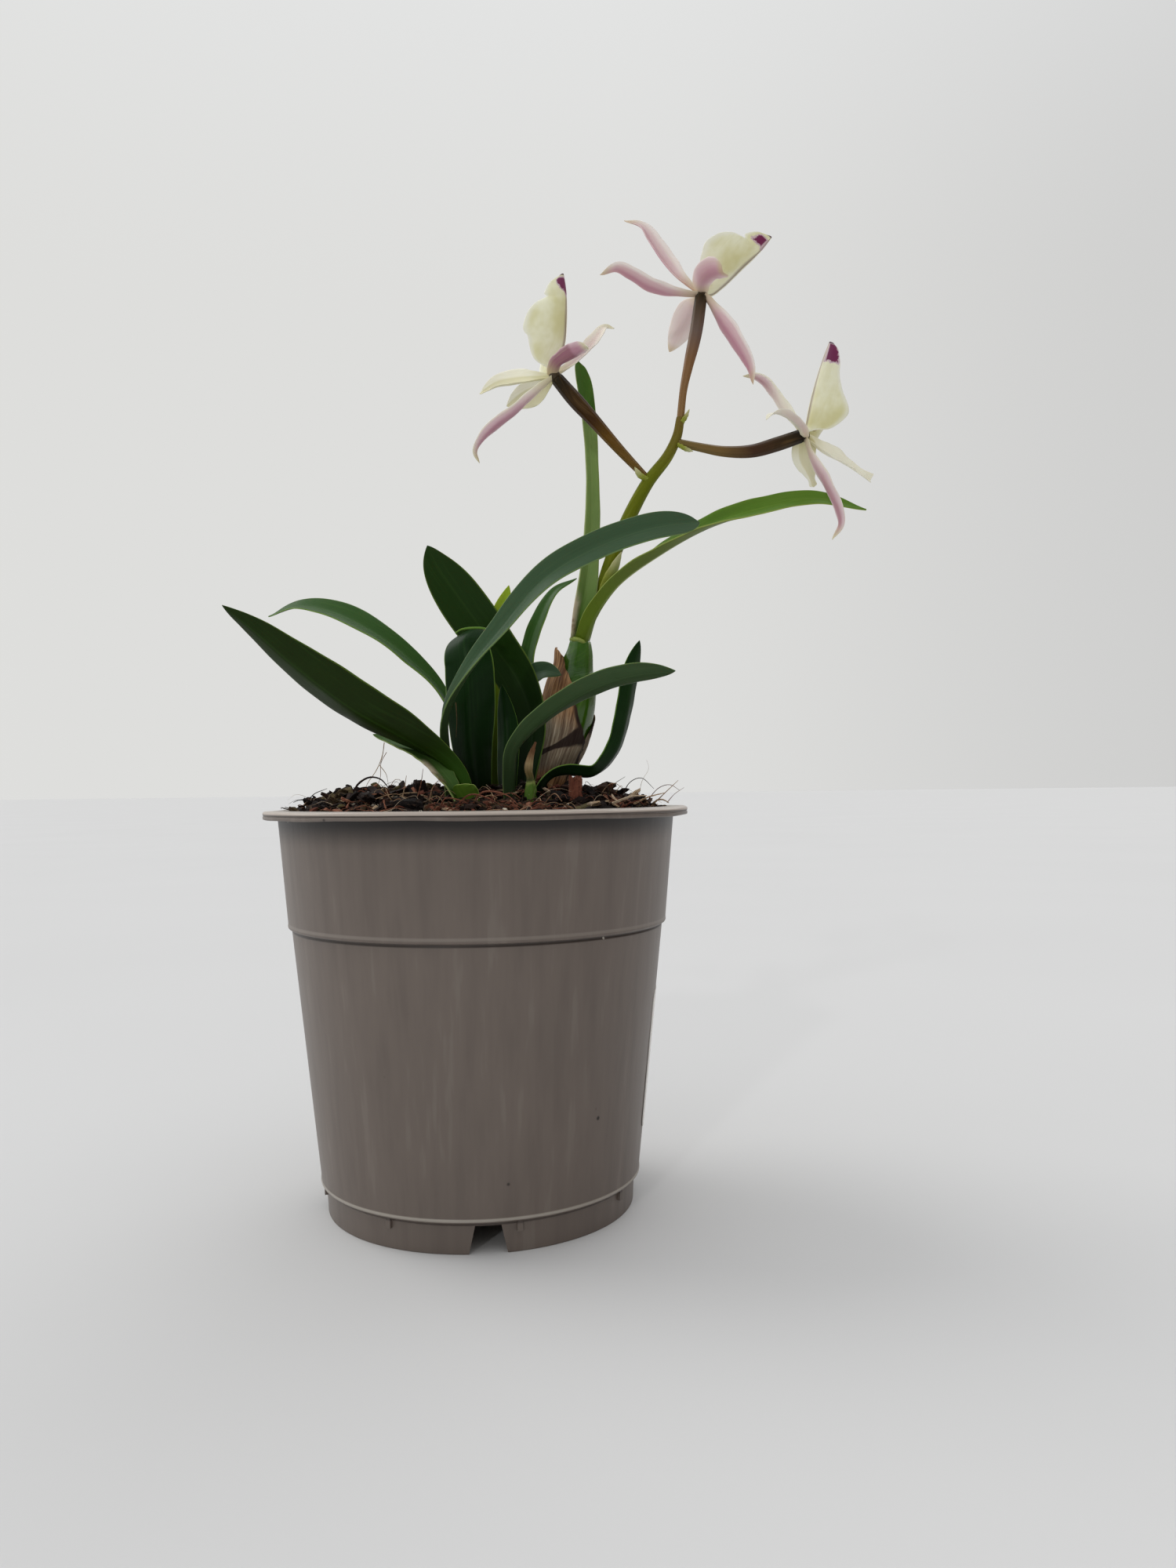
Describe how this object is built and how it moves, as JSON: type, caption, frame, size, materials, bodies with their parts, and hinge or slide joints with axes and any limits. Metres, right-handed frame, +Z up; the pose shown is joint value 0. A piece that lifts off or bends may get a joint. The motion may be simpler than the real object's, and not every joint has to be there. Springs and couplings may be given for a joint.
{
  "type": "potted orchid",
  "caption": "Small encyclia orchid with a clump of strap leaves, a green pseudobulb and a branched spike of pale pink and cream blooms, potted in bark in a round taupe plastic nursery pot.",
  "frame": {"origin": "middle of the underside of the pot, on the surface that the pot stands on", "axes": "+Z up along the axis of the pot, +X to the right and +Y away from the viewer as the plant is seen from the front, with the spike leaning towards +X"},
  "size_m": [0.1818, 0.12, 0.2874],
  "materials": {
    "pot_plastic": "satin injection-moulded plastic",
    "label_paper": "matte white adhesive film, left blank",
    "growing_mix": "rough damp composted bark",
    "bark_red": "rough dry bark, reddish",
    "bark_olive": "rough weathered bark, olive grey",
    "leaf_dark": "glossy dark green leaf skin",
    "leaf_blue": "satin blue-green leaf skin",
    "leaf_fresh": "satin fresh green leaf skin",
    "bulb_green": "glossy green pseudobulb skin",
    "dry_sheath": "dry fibrous papery sheath",
    "spike_green": "satin olive green stem skin",
    "ovary_brown": "satin brown-purple stalk skin",
    "tepal_pink": "soft satin petal",
    "lip_cream": "soft satin petal, veined",
    "column_cream": "soft satin petal flesh"
  },
  "bodies": {
    "root": {"pot": "pot_plastic", "blank_label": "label_paper", "growing_mix": "growing_mix", "leaf_front_left": "leaf_dark", "leaf_front_short": "leaf_fresh", "leaf_back_left": "leaf_dark", "leaf_centre_tall": "leaf_dark", "leaf_centre_front": "leaf_dark", "leaf_centre_inner": "leaf_dark", "leaf_right_arch": "leaf_blue", "leaf_back_mid": "leaf_dark", "leaf_back_tip": "leaf_fresh", "leaf_right_low": "leaf_blue", "leaf_right_twist": "leaf_dark", "leaf_small_mid": "leaf_blue", "leaf_top_upright": "leaf_fresh", "leaf_top_arch": "leaf_fresh", "pseudobulb_flowering": "bulb_green", "bulb_sheath": "dry_sheath", "pseudobulb_back": "bulb_green", "young_shoot": "leaf_fresh", "sheath_front": "leaf_fresh", "flower_spike": "spike_green", "ovary_left": "ovary_brown", "ovary_top": "ovary_brown", "ovary_right": "ovary_brown", "bloom_left_tepals": "tepal_pink", "bloom_left_lip": "lip_cream", "bloom_left_column": "column_cream", "bloom_top_tepals": "tepal_pink", "bloom_top_lip": "lip_cream", "bloom_top_column": "column_cream", "bloom_right_tepals": "tepal_pink", "bloom_right_lip": "lip_cream", "bloom_right_column": "column_cream", "bark_stub": "bark_red", "bark_chip_upright": "growing_mix", "bark_chip_olive": "bark_olive"}
  },
  "joints": []
}
